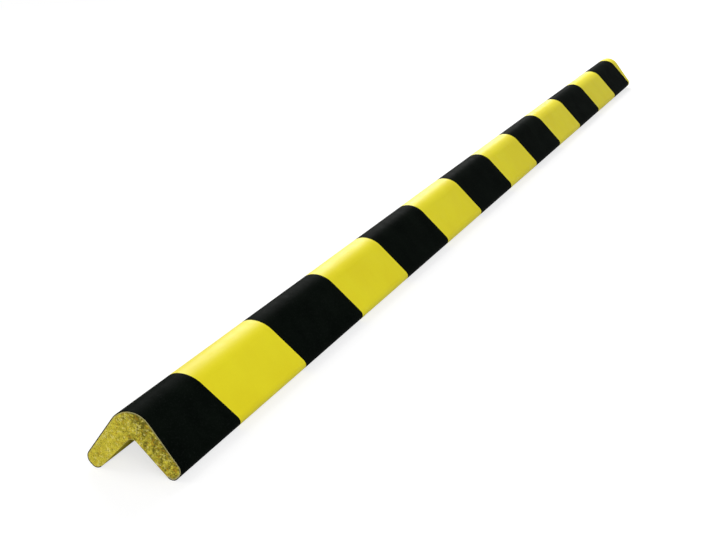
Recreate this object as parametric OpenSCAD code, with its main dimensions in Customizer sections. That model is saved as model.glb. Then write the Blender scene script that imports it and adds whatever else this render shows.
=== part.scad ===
// Corner guard of soft foam: a one-metre bar with an angled section, yellow with black bands.
// The bar lies along Y with its ridge up. It rests on its two leg tips, at Z = 0.
// The origin is on that plane, midway between the two cut ends. The inner faces bond to a corner.

/* [Bar] */
// Length from cut to cut
bar_len = 1000; // [700:10:1400]

/* [Section] */
// Inner face of a leg, from the inner corner to the leg's end
inner_leg = 27.5; // [24:0.5:40]
// Thickness of a leg at the inner corner
root_t = 12.5; // [11:0.5:16]
// Thickness of a leg at its end
tip_t = 8.6; // [8.6:0.2:10.4]
// Radius of the ridge
ridge_r = 12; // [8:0.5:12]
// Radius of a leg tip on its outer side
tip_outer_r = 4.3; // [3:0.1:4.3]
// Radius of a leg tip on its inner side
tip_inner_r = 3.4; // [1:0.2:3.4]
// Radius of the inner corner
corner_r = 3; // [0.5:0.5:6]

/* [Bands] */
// Number of black bands
bands = 7; // [3:1:7]
// Length of a whole black band
black_len = 81; // [50:1:82]
// Length of the first black band, which the near cut shortens
first_black = 52; // [20:1:80]
// Length of the last black band
last_black = 72; // [20:1:80]
// Length of the yellow rest behind the last black band, at the height of the inner corner
end_rest = 10; // [8:1:30]
// Angle by which the edges of the bands lean back from the ridge to the tips
edge_lean = 24; // [0:1:30]
// Thickness of the black coat, which lies flush in the foam
coat_t = 0.4; // [0.3:0.1:0.8]

/* [Hidden] */
$fn = 96;
far = 200;
// A flat face starts this far inside the round that it runs into, so that the two cross cleanly.
nick = 0.002;

// A point of the section, from a leg's own axes: u runs down the inner face from the inner corner,
// v outwards through the leg. The section's own origin is the inner corner.
function leg_point(u, v, side = 1) = [side * (u + v) * cos(45), (v - u) * sin(45)];

// The outer faces close in on the inner ones towards the tips.
taper = atan((root_t - tip_t) / inner_leg);
ridge_half = 45 - taper;
ridge_sharp_z = root_t / (1 - tan(taper)) / cos(45);
ridge_z = ridge_sharp_z - ridge_r / sin(ridge_half);

// Centres of a tip's two rounds, in the leg's own axes: both touch the end face, and the outer one
// touches the outer face as well. A skin that is moved in keeps the outer centre.
outer_round = [
    inner_leg - tip_outer_r,
    root_t - (inner_leg - tip_outer_r) * tan(taper) - tip_outer_r / cos(taper)
];
inner_round = [inner_leg - tip_inner_r, tip_inner_r];

// Height of the inner corner over the resting plane: the lowest point is on a tip's inner round.
corner_z = tip_inner_r - leg_point(inner_round.x, inner_round.y).y;

// What is left of the length once the black bands are taken out is shared by the yellow ones.
yellow_len = (bar_len - first_black - last_black - end_rest - (bands - 2) * black_len) / (bands - 1);

// Where band i ends, measured from the near cut at the height of the inner corner
function band_end(i) = i == bands
    ? bar_len - end_rest
    : first_black + (i - 1) * (black_len + yellow_len);

// Where band i starts: the first one runs out of the near cut
function band_start(i) = i == 1
    ? -far / 4
    : band_end(i) - (i == bands ? last_black : black_len);

// The outer skin of one side, moved in by inset: from the ridge's round down to the end face
function skin_points(inset, side) = [
    [0, ridge_z] + (ridge_r - inset - nick) * [side * cos(ridge_half), sin(ridge_half)],
    leg_point(
        outer_round.x + (tip_outer_r - inset - nick) * sin(taper),
        outer_round.y + (tip_outer_r - inset - nick) * cos(taper),
        side
    ),
    leg_point(inner_leg - inset - nick, outer_round.y, side)
];

// The end face and the inner face of one side
function leg_points(side) = [
    leg_point(inner_leg - nick, inner_round.y, side),
    leg_point(inner_round.x, nick, side)
];

// The end of a core of foam, moved in by inset down to the tip's inner round, where it leaves the
// section square to the inner face
function core_points(inset, side) = [
    leg_point(inner_leg - inset - nick, inner_round.y, side),
    leg_point(inner_round.x, inset + nick, side),
    leg_point(inner_round.x, -inset, side)
];

function reversed(points) = [for (i = [len(points) - 1:-1:0]) points[i]];

// Carries one outline of the section along the whole bar
module along_bar() {
    translate([0, bar_len / 2, corner_z])
        rotate([90, 0, 0])
            linear_extrude(height = bar_len)
                children();
}

// The rounds of the ridge and of both tips, moved in by inset
module rounds(inset = 0) {
    along_bar()
        translate([0, ridge_z])
            intersection() {
                circle(r = ridge_r - inset);
                translate([-ridge_r, max(0, -ridge_z)]) square([2 * ridge_r, ridge_r]);
            }
    for (side = [-1, 1]) {
        along_bar()
            translate(leg_point(outer_round.x, outer_round.y, side))
                circle(r = tip_outer_r - inset);
        along_bar()
            translate(leg_point(inner_round.x, inner_round.y, side))
                circle(r = tip_inner_r - inset);
    }
}

// Fills the inner corner up to its round
module corner_fill() {
    along_bar()
        difference() {
            polygon([
                [0, corner_r],
                leg_point(corner_r, 0, -1),
                leg_point(corner_r, 0)
            ]);
            translate([0, -corner_r / cos(45)]) circle(r = corner_r + nick);
        }
}

// The whole bar, without its beds for the coats
module plain_bar() {
    along_bar()
        polygon(concat(
            skin_points(0, 1), leg_points(1),
            [[0, 0]],
            reversed(leg_points(-1)), reversed(skin_points(0, -1))
        ));
    rounds();
    corner_fill();
}

// What lies inside a black coat, which covers the skin from one bonding face over the ridge to the
// other: all but the two inner faces
module inside_coat() {
    along_bar()
        polygon(concat(
            skin_points(coat_t, 1), core_points(coat_t, 1),
            reversed(core_points(coat_t, -1)), reversed(skin_points(coat_t, -1))
        ));
    rounds(coat_t);
}

// The slice of the bar that belongs to band i, between two leaning planes
module band_slice(i) {
    span = (band_end(i) - band_start(i)) * cos(edge_lean);
    translate([0, band_start(i) - bar_len / 2, corner_z])
        rotate([edge_lean, 0, 0])
            translate([-far / 2, 0, -far / 2])
                cube([far, span, far]);
}

// One black coat, flush with the yellow skin beside it
module black_band(i) {
    color([0.05, 0.05, 0.06])
        difference() {
            intersection() {
                plain_bar();
                band_slice(i);
            }
            inside_coat();
        }
}

// The yellow moulding, with a shallow bed for each coat
module foam_profile() {
    color([0.85, 0.80, 0.16])
        difference() {
            plain_bar();
            for (i = [1:bands]) black_band(i);
        }
}

foam_profile();
for (i = [1:bands])
    black_band(i);
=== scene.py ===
import math
import random

import bpy
import numpy as np
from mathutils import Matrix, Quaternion, Vector, geometry, kdtree, noise


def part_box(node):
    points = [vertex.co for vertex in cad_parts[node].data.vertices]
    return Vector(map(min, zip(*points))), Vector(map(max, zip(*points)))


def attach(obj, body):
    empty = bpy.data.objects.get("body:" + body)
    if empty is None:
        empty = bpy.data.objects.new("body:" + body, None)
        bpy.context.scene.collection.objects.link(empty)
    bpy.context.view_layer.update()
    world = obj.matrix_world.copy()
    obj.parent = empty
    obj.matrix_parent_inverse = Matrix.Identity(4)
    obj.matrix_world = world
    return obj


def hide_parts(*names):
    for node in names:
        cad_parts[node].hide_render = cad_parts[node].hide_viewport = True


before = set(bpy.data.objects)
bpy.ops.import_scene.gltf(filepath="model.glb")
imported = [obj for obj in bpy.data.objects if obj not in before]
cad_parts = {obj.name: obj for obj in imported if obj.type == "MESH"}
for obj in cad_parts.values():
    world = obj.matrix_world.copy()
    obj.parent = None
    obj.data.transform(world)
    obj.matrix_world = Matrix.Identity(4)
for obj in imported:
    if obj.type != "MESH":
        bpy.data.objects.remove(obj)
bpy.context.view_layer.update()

# The section of the bar, as the solids have it, in metres
INNER_LEG = 0.0275
ROOT_T = 0.0125
TIP_T = 0.0086
RIDGE_R = 0.012
TIP_OUTER_R = 0.0043
TIP_INNER_R = 0.0034
CORNER_R = 0.003
COAT_T = 0.0004
EDGE_LEAN = math.radians(24)

# How finely the pieces are meshed: the rings along the bar, the points on the flats of the section, both
# in metres, and the points round its arcs, in degrees
STATION = 0.003
FLAT_STEP = 0.0016
ARC_STEP = 5.0

# The width of the step down into the bed of a coat
BED_WALL = 0.00001

# Edges that turn by more than this look sharp
SHARP_EDGE = math.radians(40)

BANDS = sorted(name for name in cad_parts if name.startswith("black_band_"))
BAR = "foam_profile"


# Section

# Both legs slope at 45 degrees, so one value is their sine and their cosine.
LEG_SLOPE = 45
COS45 = math.cos(math.radians(LEG_SLOPE))
TAPER = math.atan((ROOT_T - TIP_T) / INNER_LEG)
RIDGE_HALF = math.radians(LEG_SLOPE) - TAPER
RIDGE_Z = ROOT_T / (1 - math.tan(TAPER)) / COS45 - RIDGE_R / math.sin(RIDGE_HALF)
OUTER_ROUND = (
    INNER_LEG - TIP_OUTER_R,
    ROOT_T - (INNER_LEG - TIP_OUTER_R) * math.tan(TAPER) - TIP_OUTER_R / math.cos(TAPER),
)
INNER_ROUND = (INNER_LEG - TIP_INNER_R, TIP_INNER_R)


def leg_vector(u, v):
    """A direction or point of the right leg: u runs down its inner face, v outwards through it."""
    return np.array([(u + v) * COS45, (v - u) * COS45])


CORNER_Z = TIP_INNER_R - leg_vector(*INNER_ROUND)[1]


def arc_points(centre, radius, start, end, outward=1):
    """Points and normals along an arc of the section, from one angle to another, in degrees."""
    steps = max(2, math.ceil(abs(end - start) / ARC_STEP))
    for angle in np.radians(np.linspace(start, end, steps + 1)):
        normal = np.array([math.cos(angle), math.sin(angle)])
        yield centre + radius * normal, outward * normal


def line_points(start, end, normal):
    """Points and normals inside a straight stretch of the section, without its two ends."""
    steps = max(1, math.ceil(np.linalg.norm(end - start) / FLAT_STEP))
    for k in range(1, steps):
        yield start + (end - start) * k / steps, normal


def half_outline():
    """The right half of the section from the inner corner up to the ridge, and where its coat starts."""
    corner = np.array([0, -CORNER_R / COS45])
    inner_centre = leg_vector(*INNER_ROUND)
    outer_centre = leg_vector(*OUTER_ROUND)
    inner_normal = leg_vector(0, -1)
    end_normal = leg_vector(1, 0)
    outer_normal = leg_vector(math.sin(TAPER), math.cos(TAPER))
    outer_angle = math.degrees(math.atan2(outer_normal[1], outer_normal[0]))

    points = list(arc_points(corner, CORNER_R, 90, 90 - LEG_SLOPE, outward=-1))
    face_end = leg_vector(INNER_ROUND[0], 0)
    points += line_points(leg_vector(CORNER_R, 0), face_end, inner_normal)
    points.append((face_end - leg_vector(BED_WALL, 0), inner_normal))
    coat_start = len(points)
    points += arc_points(inner_centre, TIP_INNER_R, -90 - LEG_SLOPE, -LEG_SLOPE)
    points += line_points(
        inner_centre + TIP_INNER_R * end_normal, outer_centre + TIP_OUTER_R * end_normal, end_normal
    )
    points += arc_points(outer_centre, TIP_OUTER_R, -LEG_SLOPE, outer_angle)
    ridge_centre = np.array([0, RIDGE_Z])
    points += line_points(
        outer_centre + TIP_OUTER_R * outer_normal, ridge_centre + RIDGE_R * outer_normal, outer_normal
    )
    points += arc_points(ridge_centre, RIDGE_R, outer_angle, 90)
    return points, coat_start


def whole_outline():
    """The closed section from the inner corner round: points, normals and whether a coat covers them."""
    half, coat_start = half_outline()
    flip = np.array([-1, 1])
    mirrored = [(point * flip, normal * flip) for point, normal in half[-2:0:-1]]
    points = np.array([point for point, normal in half + mirrored])
    normals = np.array([normal for point, normal in half + mirrored])
    coated = np.zeros(len(points), bool)
    coated[coat_start:len(points) - coat_start + 1] = True
    points[:, 1] += CORNER_Z
    return points, normals, coated


OUTLINE, NORMALS, COATED = whole_outline()


# Bands

def band_edges(name):
    """Where a band starts and ends along the bar, at the height of the inner corner."""
    low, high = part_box(name)
    start = low.y + (high.z - CORNER_Z) * math.tan(EDGE_LEAN)
    end = high.y - (CORNER_Z - low.z) * math.tan(EDGE_LEAN)
    return start, end


NEAR_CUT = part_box(BAR)[0].y
FAR_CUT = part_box(BAR)[1].y
EDGES = [band_edges(name) for name in BANDS]


# Surfaces

# The slow waves of the soft skin, each its depth in metres and its scale
SKIN_WAVES = ((0.00006, 22.0), (0.00003, 90.0))


def skin_depth(x, y, z):
    """How far the soft skin lies below the ideal one. It is never above it."""
    return sum(
        depth * (0.5 + 0.5 * noise.noise(Vector((x, y, z)) * scale)) for depth, scale in SKIN_WAVES
    )


def ring(place, lean, inset):
    """One ring of the section across the bar. Its lean is 1 along a band's edge and 0 at a cut."""
    tan_lean = math.tan(EDGE_LEAN) * lean
    moved = OUTLINE - NORMALS * inset[:, None]
    y = place + (CORNER_Z - moved[:, 1]) * tan_lean
    y_skin = place + (CORNER_Z - OUTLINE[:, 1]) * tan_lean
    depth = np.array([skin_depth(px, py, pz) for (px, pz), py in zip(OUTLINE, y_skin)])
    flat = moved - NORMALS * depth[:, None]
    return np.column_stack([flat[:, 0], y, flat[:, 1]])


def rings_between(anchors):
    """Rings from anchor to anchor, each a place, a lean and an inset for every point of the section."""
    rings = []
    for (y0, lean0, inset0), (y1, lean1, _) in zip(anchors, anchors[1:]):
        steps = max(1, math.ceil((y1 - y0) / STATION))
        for k in range(steps):
            t = k / steps
            rings.append(ring(y0 + (y1 - y0) * t, lean0 + (lean1 - lean0) * t, inset0))
    rings.append(ring(*anchors[-1]))
    return rings


def foam_anchors():
    """The foam's own skin in the yellow stretches, and the bed of a coat in the black ones."""
    bed = np.where(COATED, COAT_T, 0.0)
    skin = np.zeros(len(OUTLINE))
    anchors = [(NEAR_CUT, 0, bed)]
    for number, (start, end) in enumerate(EDGES):
        if number:
            anchors += [(start, 1, skin), (start + BED_WALL, 1, bed)]
        anchors += [(end - BED_WALL, 1, bed), (end, 1, skin)]
    return anchors + [(FAR_CUT, 0, skin)]


# Cut ends

# The open cells of the foam: how far apart they are, how far they are shaken out of line, their sizes,
# the share of the spacing over which a pit deepens, its depth, and the dense foam under the skin
CELL = 0.00095
CELL_SHAKE = 0.9
CELL_SIZES = (0.55, 1.0)
PIT_SLOPE = 0.6
PIT_DEPTH = 0.00032
DENSE_SKIN = 0.0009

# The mesh of a cut: how far apart its points are, how far they are shaken out of line, how many
# steps they keep from the edge, and how near two points may be before they are one
CAP_STEP = 0.00025
CAP_SHAKE = 0.5
CAP_MARGIN = 0.6
CAP_WELD = 1e-9

# The seeds of the near and the far cut
CUT_SEEDS = (11, 12)

# The height of a row in a lattice of equal triangles, in steps
ROW_HEIGHT = math.sqrt(0.75)

# What tells the triangulation to keep only the triangles inside the outline
KEEP_INSIDE = 1


def outline_distance(points, outline):
    """Each point's distance from a closed outline and from its coated part, and whether it is inside."""
    x, z = points.T
    nearest = np.full(len(points), np.inf)
    nearest_coat = np.full(len(points), np.inf)
    inside = np.zeros(len(points), bool)
    coated = COATED & np.roll(COATED, -1)
    for (ax, az), (bx, bz), under_coat in zip(outline, np.roll(outline, -1, axis=0), coated):
        dx, dz = bx - ax, bz - az
        t = np.clip(((x - ax) * dx + (z - az) * dz) / (dx * dx + dz * dz), 0, 1)
        distance = np.hypot(x - ax - t * dx, z - az - t * dz)
        nearest = np.minimum(nearest, distance)
        if under_coat:
            nearest_coat = np.minimum(nearest_coat, distance)
        if az != bz:
            crosses = (az > z) != (bz > z)
            inside ^= crosses & (x < ax + (z - az) * dx / dz)
    return nearest, nearest_coat, inside


def lattice(outline, step, shake, rng, margin):
    """Points of a shaken triangular lattice inside an outline."""
    low = outline.min(axis=0) - step
    high = outline.max(axis=0) + step
    rows = int((high[1] - low[1]) / (step * ROW_HEIGHT)) + 1
    columns = int((high[0] - low[0]) / step) + 1
    points = [
        (
            low[0] + (column + 0.5 * (row % 2) + shake * rng.uniform(-0.5, 0.5)) * step,
            low[1] + (row * ROW_HEIGHT + shake * rng.uniform(-0.5, 0.5)) * step,
        )
        for row in range(rows)
        for column in range(columns)
    ]
    points = np.array(points)
    distance, _, inside = outline_distance(points, outline)
    return points[inside & (distance > margin)]


def cut_face(outline, seed):
    """A cut end: its inner points, its triangles, and each point's pit, rim and tint, outline first."""
    rng = random.Random(seed)
    inner = lattice(outline, CAP_STEP, CAP_SHAKE, rng, CAP_STEP * CAP_MARGIN)
    points = np.vstack([outline, inner])
    loop = list(range(len(outline)))
    _, _, triangles, sources, _, _ = geometry.delaunay_2d_cdt(
        [Vector(point) for point in points], [], [loop], KEEP_INSIDE, CAP_WELD
    )
    place = [source[0] for source in sources]
    triangles = [tuple(place[i] for i in triangle) for triangle in triangles]

    cells = lattice(outline, CELL, CELL_SHAKE, rng, 0.0)
    tree = kdtree.KDTree(len(cells))
    for number, (x, z) in enumerate(cells):
        tree.insert((x, z, 0), number)
    tree.balance()
    tints = [rng.random() for _ in cells]
    sizes = [rng.uniform(*CELL_SIZES) for _ in cells]
    distance, coat_distance, _ = outline_distance(points, outline)
    distance[:len(outline)] = 0
    pit = np.zeros(len(points))
    tint = np.zeros(len(points))
    for number, (x, z) in enumerate(points):
        (_, cell, first), (_, _, second) = tree.find_n((x, z, 0), 2)
        opening = min(1.0, (second - first) / (CELL * PIT_SLOPE))
        pit[number] = sizes[cell] * opening
        tint[number] = tints[cell]
    pit *= np.clip(distance / DENSE_SKIN, 0, 1)
    # How near each point lies to the coat: the rim, which the cut foam colours as the dense skin's edge
    # with a painted highlight
    rim = np.clip(1 - coat_distance / DENSE_SKIN, 0, 1)
    return inner, triangles, pit, rim, tint


# Pieces

# The bar's materials, in the order in which it holds them
SKIN_SLOT, CUT_SLOT, BOND_SLOT = range(3)


def new_piece(name, vertices, faces):
    """A smooth mesh object in the scene."""
    mesh = bpy.data.meshes.new(name)
    mesh.from_pydata([tuple(v) for v in vertices], [], faces)
    mesh.validate()
    mesh.shade_smooth()
    mesh.set_sharp_from_angle(angle=SHARP_EDGE)
    piece = bpy.data.objects.new(name, mesh)
    bpy.context.scene.collection.objects.link(piece)
    return piece


def point_values(mesh, name, values):
    """Stores one number for each point of a mesh, for its materials to read."""
    attribute = mesh.attributes.new(name, "FLOAT", "POINT")
    attribute.data.foreach_set("value", np.asarray(values, np.float32))


def tube_faces(count, size):
    """Quads between a count of closed rings of one size, with their outer sides out."""
    return [
        (
            j * size + i,
            (j + 1) * size + i,
            (j + 1) * size + (i + 1) % size,
            j * size + (i + 1) % size,
        )
        for j in range(count - 1)
        for i in range(size)
    ]


def make_bar():
    """The foam: its skin with the beds of the coats, and the open cells of its two cut ends."""
    rings = rings_between(foam_anchors())
    size = len(OUTLINE)
    vertices = np.vstack(rings)
    faces = tube_faces(len(rings), size)
    # A strip of the skin is bonding face where the coats cover neither of its edges.
    bonded = ~COATED & ~np.roll(COATED, -1)
    slots = [np.where(np.tile(bonded, len(rings) - 1), BOND_SLOT, SKIN_SLOT)]
    pits = [np.zeros(len(vertices))]
    rims = [np.zeros(len(vertices))]
    tints = [np.zeros(len(vertices))]
    for end, seed, inward in zip((0, len(rings) - 1), CUT_SEEDS, (1, -1)):
        outline = rings[end][:, [0, 2]]
        inner, triangles, pit, rim, tint = cut_face(outline, seed)
        first = end * size
        start = len(vertices)
        y = rings[end][0, 1] + inward * PIT_DEPTH * pit[size:]
        vertices = np.vstack([vertices, np.column_stack([inner[:, 0], y, inner[:, 1]])])
        turned = [t if inward == 1 else t[::-1] for t in triangles]
        faces += [tuple(first + i if i < size else start + i - size for i in t) for t in turned]
        slots.append(np.full(len(triangles), CUT_SLOT))
        # The edge of the cut is all rim.
        rims[0][first:first + size] = 1
        pits.append(pit[size:])
        rims.append(rim[size:])
        tints.append(tint[size:])
    bar = new_piece("foam_bar", vertices, faces)
    point_values(bar.data, "pit", np.concatenate(pits))
    point_values(bar.data, "rim", np.concatenate(rims))
    point_values(bar.data, "tint", np.concatenate(tints))
    for material in (yellow_skin(), cut_foam(), bond_face()):
        bar.data.materials.append(material)
    bar.data.polygons.foreach_set("material_index", np.concatenate(slots).astype(np.int32))
    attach(bar, "root")
    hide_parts(BAR)


def make_coat(name, start, end, from_cut, material):
    """One black coat, between the skin and the bed. The first one starts at the near cut."""
    skin = np.zeros(len(OUTLINE))
    bed = np.full(len(OUTLINE), COAT_T)
    covered = np.flatnonzero(COATED)
    first = (NEAR_CUT, 0) if from_cut else (start, 1)
    outer = rings_between([(*first, skin), (end, 1, skin)])
    inner = rings_between([(*first, bed), (end, 1, bed)])
    loops = [np.vstack([o[covered], i[covered][::-1]]) for o, i in zip(outer, inner)]
    size = 2 * len(covered)
    faces = tube_faces(len(loops), size)
    last = (len(loops) - 1) * size
    for i in range(len(covered) - 1):
        across = (i, i + 1, size - 2 - i, size - 1 - i)
        faces.append(across)
        faces.append(tuple(last + k for k in across[::-1]))
    coat = new_piece(name.replace("black_band", "coat"), np.vstack(loops), faces)
    coat.data.materials.append(material)
    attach(coat, "root")
    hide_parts(name)


# Materials

# The colours of the surfaces, each red, green, blue and alpha
YELLOW_DEEP = (0.820, 0.705, 0.016, 1)
YELLOW_BRIGHT = (0.860, 0.766, 0.020, 1)
YELLOW_GRAIN = (0.60, 0.51, 0.006, 1)
BLACK_DEEP = (0.0018, 0.0029, 0.0021, 1)
BLACK_SOFT = (0.0032, 0.0049, 0.0035, 1)
BLACK_SPECK = (0.011, 0.013, 0.012, 1)
BOND_DEEP = (0.50, 0.42, 0.036, 1)
BOND_PALE = (0.64, 0.54, 0.050, 1)
CUT_YELLOW = (0.72, 0.62, 0.058, 1)
CUT_TORN = (0.17, 0.147, 0.016, 1)
CUT_WALL = (0.85, 0.76, 0.22, 1)
CUT_BROWN = (0.50, 0.28, 0.02, 1)
# Painted shade for the deep pits of a cut end
CUT_PIT_SHADE = (0.12, 0.09, 0.01, 1)
# The grey rim under the coat: the cut edge of the dense skin, with a painted highlight
CUT_RIM_AND_HIGHLIGHT = (0.42, 0.39, 0.18, 1)

# How much each surface mirrors, the same all over it
YELLOW_SPECULAR = 0.045
BLACK_SPECULAR = 0.0008
BOND_SPECULAR = 0.01
CUT_SPECULAR = 0.05

# Where a cut end changes from its cleaner left leg to its torn right one, along X, and where it
# changes from the inside of the right leg to the outside, along X plus Z
CUT_LEFT_TO_RIGHT = (-0.012, 0.002)
CUT_IN_TO_OUT = (0.0225, 0.032)

# The noises that tear a cut end, each its scale and its share
CUT_TEARS = ((120, 0.20), (400, 0.42), (1000, 0.38))

# The noises that mottle the inner faces
BOND_MOTTLES = ((90, 0.3), (700, 0.7))


class Nodes:
    """A node tree, with one short call for each kind of node that this scene uses."""

    def __init__(self, tree):
        self.tree = tree

    def add(self, kind, **values):
        node = self.tree.nodes.new(kind)
        for key, value in values.items():
            setattr(node, key, value)
        return node

    def link(self, source, target):
        self.tree.links.new(source, target)

    def set(self, socket, value):
        """Links a socket to another, or gives it a value of its own."""
        if isinstance(value, bpy.types.NodeSocket):
            self.link(value, socket)
        else:
            socket.default_value = value

    def math(self, operation, a, b):
        node = self.add("ShaderNodeMath", operation=operation)
        self.set(node.inputs[0], a)
        self.set(node.inputs[1], b)
        return node.outputs[0]

    def span(self, value, low, high, to_low=0.0, to_high=1.0, shape="LINEAR"):
        """A value that goes from to_low to to_high as another goes from low to high, and no further."""
        node = self.add("ShaderNodeMapRange", interpolation_type=shape)
        self.link(value, node.inputs["Value"])
        for socket, end in zip(("From Min", "From Max", "To Min", "To Max"), (low, high, to_low, to_high)):
            self.set(node.inputs[socket], end)
        return node.outputs["Result"]

    def between(self, share, start, end):
        """A value that goes from start to end as a share goes from 0 to 1."""
        return self.span(share, 0, 1, start, end)


class Surface(Nodes):
    """The nodes of one of the object's own materials."""

    def __init__(self, name):
        self.material = bpy.data.materials.new(name)
        self.material.use_nodes = True
        super().__init__(self.material.node_tree)
        self.shader = self.tree.nodes["Principled BSDF"]
        self.place = self.add("ShaderNodeTexCoord").outputs["Object"]

    def noise(self, scale, detail=2.0):
        node = self.add("ShaderNodeTexNoise")
        self.link(self.place, node.inputs["Vector"])
        node.inputs["Scale"].default_value = scale
        node.inputs["Detail"].default_value = detail
        return node.outputs["Fac"]

    def layered_noise(self, layers):
        """The sum of several noises, each its scale and its share."""
        total = 0.0
        for scale, share in layers:
            total = self.math("ADD", total, self.math("MULTIPLY", self.noise(scale), share))
        return total

    def patches(self, noise, spread):
        """A noise stretched to reach from 0 to 1. The smaller the spread, the sharper its patches."""
        return self.span(noise, 0.5 - spread, 0.5 + spread)

    def mix(self, share, a, b):
        node = self.add("ShaderNodeMix", data_type="RGBA")
        for socket, value in zip((0, 6, 7), (share, a, b)):
            self.set(node.inputs[socket], value)
        return node.outputs[2]

    def value(self, name):
        """One of the numbers that point_values stored."""
        return self.add("ShaderNodeAttribute", attribute_name=name).outputs["Fac"]

    def axis(self, name):
        node = self.add("ShaderNodeSeparateXYZ")
        self.link(self.place, node.inputs[0])
        return node.outputs[name]

    def bump(self, height, strength, depth, below=None):
        node = self.add("ShaderNodeBump")
        node.inputs["Strength"].default_value = strength
        node.inputs["Distance"].default_value = depth
        self.link(height, node.inputs["Height"])
        if below:
            self.link(below, node.inputs["Normal"])
        return node.outputs["Normal"]

    def finish(self, colour, roughness, specular, relief):
        """Sets the shader and gives back the material."""
        self.link(colour, self.shader.inputs["Base Color"])
        self.set(self.shader.inputs["Roughness"], roughness)
        self.shader.inputs["Specular IOR Level"].default_value = specular
        self.link(relief, self.shader.inputs["Normal"])
        return self.material


def yellow_skin():
    """The satin skin of the foam: a slow drift of colour, a faint grain and an uneven gloss."""
    n = Surface("yellow_skin")
    drift = n.patches(n.noise(28, detail=3), spread=0.18)
    grain = n.math("MULTIPLY", n.patches(n.noise(950), spread=0.2), 0.08)
    colour = n.mix(drift, YELLOW_DEEP, YELLOW_BRIGHT)
    colour = n.mix(grain, colour, YELLOW_GRAIN)
    roughness = n.between(n.patches(n.noise(120, detail=3), spread=0.2), 0.42, 0.50)
    peel = n.bump(n.noise(1300), strength=0.25, depth=0.00006)
    relief = n.bump(n.noise(260), strength=0.35, depth=0.0001, below=peel)
    return n.finish(colour, roughness, YELLOW_SPECULAR, relief)


def black_skin():
    """The satin black coat, with faint grey specks."""
    n = Surface("black_skin")
    drift = n.patches(n.noise(60, detail=3), spread=0.15)
    specks = n.math("MULTIPLY", n.span(n.noise(1500), 0.56, 0.68), 0.5)
    colour = n.mix(drift, BLACK_DEEP, BLACK_SOFT)
    colour = n.mix(specks, colour, BLACK_SPECK)
    roughness = n.between(n.patches(n.noise(170, detail=4), spread=0.2), 0.37, 0.47)
    peel = n.bump(n.noise(1100), strength=0.30, depth=0.00006)
    relief = n.bump(n.noise(240, detail=3), strength=0.5, depth=0.00014, below=peel)
    return n.finish(colour, roughness, BLACK_SPECULAR, relief)


def bond_face():
    """The plain foam of the two inner faces, which has no glossy skin."""
    n = Surface("bond_face")
    mottle = n.patches(n.layered_noise(BOND_MOTTLES), spread=0.15)
    colour = n.mix(mottle, BOND_DEEP, BOND_PALE)
    relief = n.bump(n.noise(1400, detail=3), strength=0.5, depth=0.0001)
    return n.finish(colour, 0.9, BOND_SPECULAR, relief)


def cut_foam():
    """The open cells of a cut end: yellow foam that is torn darker towards the outside of its right leg,
    with pale walls round the cells, brown cells, painted shade in the pits, and a grey rim under the coat:
    the cut edge of the dense skin, with a painted highlight."""
    n = Surface("cut_foam")
    pit = n.value("pit")
    tint = n.value("tint")
    side = n.span(n.axis("X"), *CUT_LEFT_TO_RIGHT)
    outward = n.span(n.math("ADD", n.axis("X"), n.axis("Z")), *CUT_IN_TO_OUT)

    start = n.between(side, 0.465, n.between(outward, 0.42, 0.34))
    depth = n.math("SUBTRACT", n.layered_noise(CUT_TEARS), start)
    torn = n.span(depth, 0.0, n.between(side, 0.30, 0.17))
    wall = n.math("MULTIPLY", n.span(pit, 0.15, 0.65, 1.0, 0.3), 0.75)
    pale = n.math("MULTIPLY", n.span(tint, 0.72, 0.90), wall)
    brown = n.math("MULTIPLY", n.span(tint, 0.20, 0.10), n.between(side, 0.35, 0.6))
    # Painted shade in the pits, darker the deeper the pit
    pit_shade = n.math("MULTIPLY", n.span(pit, 0.25, 0.85), 0.45)
    # The rim: the cut edge of the dense skin, with a painted highlight that is stronger on the right leg
    rim = n.math("MULTIPLY", n.span(n.value("rim"), 0.15, 0.6), n.between(side, 0.2, 0.9))

    colour = n.mix(torn, CUT_YELLOW, CUT_TORN)
    for share, shade in ((pale, CUT_WALL), (brown, CUT_BROWN), (pit_shade, CUT_PIT_SHADE), (rim, CUT_RIM_AND_HIGHLIGHT)):
        colour = n.mix(share, colour, shade)
    relief = n.bump(n.noise(2400), strength=0.6, depth=0.0001)
    return n.finish(colour, 0.8, CUT_SPECULAR, relief)


# Stage

WHITE = (1, 1, 1, 1)
FLOOR_SIZE = 12.0
FLOOR_COLOUR = (0.38, 0.38, 0.38, 1)

# How much white the floor shows of itself, so that its shadow stays pale
FLOOR_LIFT = 0.70

# From how near the middle to how far out the floor fades to plain white, in metres
FLOOR_FADE = (0.7, 1.5)

# How strongly the white surroundings light the object
WORLD_LEVEL = 0.30

# The lamps, each its place, the length of its side and its power in watts. All face the middle of the bar.
LAMPS = {
    "key": ((-0.9, 1.7, 1.0), 1.2, 48),
    "side": ((-1.5, -0.3, 1.5), 1.4, 13),
    "fill": ((1.3, -1.75, 0.85), 1.4, 31.5),
}

# The camera at the photograph's viewing angle, with its lens and sensor in millimetres
CAMERA_PLACE = (0.3027, -0.9715, 0.2711)
CAMERA_FORWARD = (-0.36021, 0.88097, -0.30683)
CAMERA_ROLL = math.radians(1.24)
CAMERA_LENS = 68.4
CAMERA_SENSOR = 36


def seen_rays(n):
    """1 for rays that show the white background, directly, in gloss or through glass, and 0 for others."""
    rays = n.add("ShaderNodeLightPath").outputs
    seen = n.math("MAXIMUM", rays["Is Camera Ray"], rays["Is Glossy Ray"])
    return n.math("MAXIMUM", seen, rays["Is Transmission Ray"])


def make_world():
    world = bpy.data.worlds.new("studio")
    bpy.context.scene.world = world
    world.use_nodes = True
    n = Nodes(world.node_tree)
    background = n.tree.nodes["Background"]
    background.inputs["Color"].default_value = WHITE
    n.link(n.between(seen_rays(n), WORLD_LEVEL, 1.0), background.inputs["Strength"])


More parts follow.
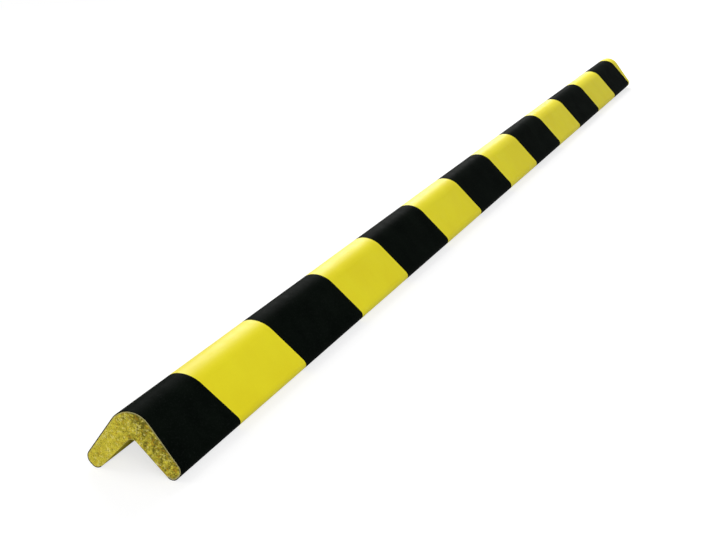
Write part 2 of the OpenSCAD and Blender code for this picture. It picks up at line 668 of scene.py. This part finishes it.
def floor_material():
    """A floor that looks white, and keeps the bar's shadow where it is near."""
    material = bpy.data.materials.new("floor")
    material.use_nodes = True
    n = Nodes(material.node_tree)
    n.tree.nodes.remove(n.tree.nodes["Principled BSDF"])
    seen = seen_rays(n)

    diffuse = n.add("ShaderNodeBsdfDiffuse")
    diffuse.inputs["Color"].default_value = FLOOR_COLOUR
    lift = n.add("ShaderNodeEmission")
    n.link(n.math("MULTIPLY", seen, FLOOR_LIFT), lift.inputs["Strength"])
    shaded = n.add("ShaderNodeAddShader")
    n.link(diffuse.outputs[0], shaded.inputs[0])
    n.link(lift.outputs[0], shaded.inputs[1])

    plain = n.add("ShaderNodeEmission")
    plain.inputs["Strength"].default_value = 1.0
    distance = n.add("ShaderNodeVectorMath", operation="LENGTH")
    n.link(n.add("ShaderNodeTexCoord").outputs["Object"], distance.inputs[0])
    fade = n.span(distance.outputs["Value"], *FLOOR_FADE, shape="SMOOTHSTEP")
    either = n.add("ShaderNodeMixShader")
    n.link(n.math("MULTIPLY", fade, seen), either.inputs[0])
    n.link(shaded.outputs[0], either.inputs[1])
    n.link(plain.outputs[0], either.inputs[2])
    n.link(either.outputs[0], n.tree.nodes["Material Output"].inputs["Surface"])
    return material


def make_floor():
    half = FLOOR_SIZE / 2
    corners = [(-half, -half, 0), (half, -half, 0), (half, half, 0), (-half, half, 0)]
    mesh = bpy.data.meshes.new("floor")
    mesh.from_pydata(corners, [], [(0, 1, 2, 3)])
    mesh.materials.append(floor_material())
    floor = bpy.data.objects.new("floor", mesh)
    bpy.context.scene.collection.objects.link(floor)


def make_lamp(name, place, size, power):
    data = bpy.data.lights.new(name, "AREA")
    data.shape = "SQUARE"
    data.size = size
    data.energy = power
    lamp = bpy.data.objects.new(name, data)
    bpy.context.scene.collection.objects.link(lamp)
    lamp.location = place
    lamp.rotation_mode = "QUATERNION"
    lamp.rotation_quaternion = (-Vector(place)).to_track_quat("-Z", "Y")


def make_camera():
    data = bpy.data.cameras.new("camera")
    data.lens = CAMERA_LENS
    data.sensor_width = CAMERA_SENSOR
    data.sensor_fit = "HORIZONTAL"
    camera = bpy.data.objects.new("camera", data)
    bpy.context.scene.collection.objects.link(camera)
    camera.location = CAMERA_PLACE
    camera.rotation_mode = "QUATERNION"
    turn = Quaternion((0, 0, 1), -CAMERA_ROLL)
    camera.rotation_quaternion = Vector(CAMERA_FORWARD).to_track_quat("-Z", "Y") @ turn
    bpy.context.scene.camera = camera


make_bar()
coat_material = black_skin()
for number, (name, (start, end)) in enumerate(zip(BANDS, EDGES)):
    make_coat(name, start, end, number == 0, coat_material)
make_world()
make_floor()
for name, (place, size, power) in LAMPS.items():
    make_lamp(name, place, size, power)
make_camera()
bpy.context.scene.view_settings.view_transform = "Standard"
